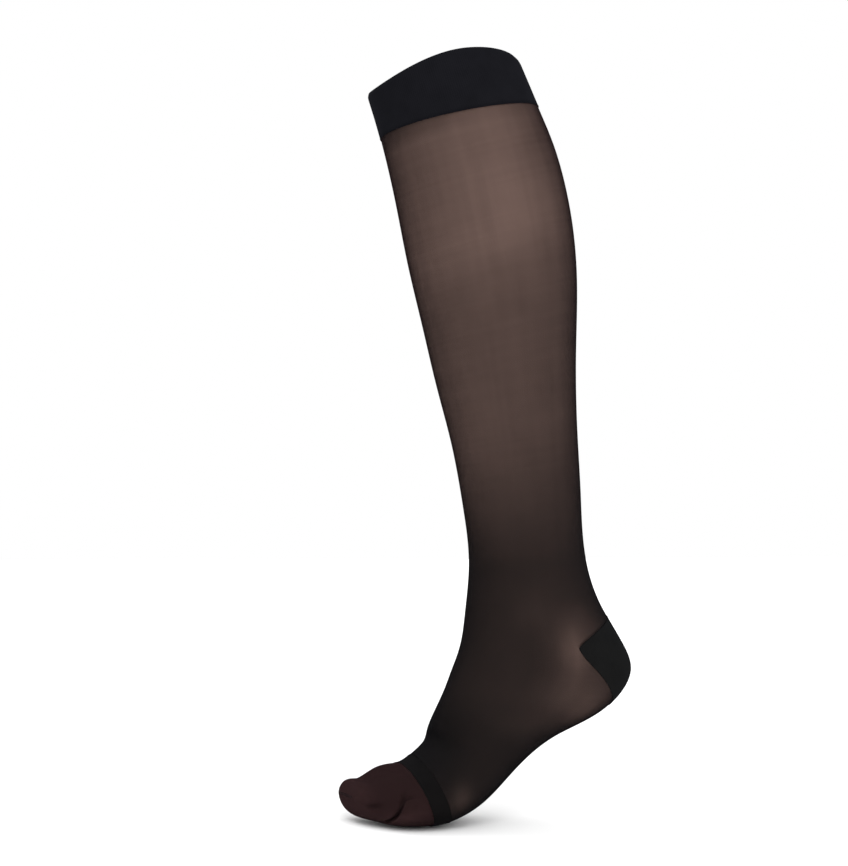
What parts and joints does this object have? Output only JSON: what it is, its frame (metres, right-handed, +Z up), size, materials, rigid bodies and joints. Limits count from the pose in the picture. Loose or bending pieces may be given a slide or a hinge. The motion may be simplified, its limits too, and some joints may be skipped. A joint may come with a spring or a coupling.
{
  "type": "compression stocking",
  "caption": "Sheer closed-toe knee-high compression stocking in its worn hollow form, heel raised, with an opaque knee band, heel pocket and band round the ball of the foot.",
  "frame": {"origin": "centre of the stocking's opening below the knee", "axes": "+Z up the leg with the ball of the foot on the ground, -Y towards the toes, +X towards the leg's outer side"},
  "size_m": [0.1122, 0.1982, 0.5068],
  "materials": {
    "black_knit": "dense matt black knit",
    "sheer_knit": "fine see-through black knit with a faint sheen",
    "sheer_toe_knit": "fine see-through black knit, closer than on the leg"
  },
  "bodies": {
    "root": {"top_band": "black_knit", "leg": "sheer_knit", "heel_pocket": "black_knit", "foot": "sheer_knit", "ball_band": "black_knit", "toe_pocket": "sheer_toe_knit"}
  },
  "joints": []
}
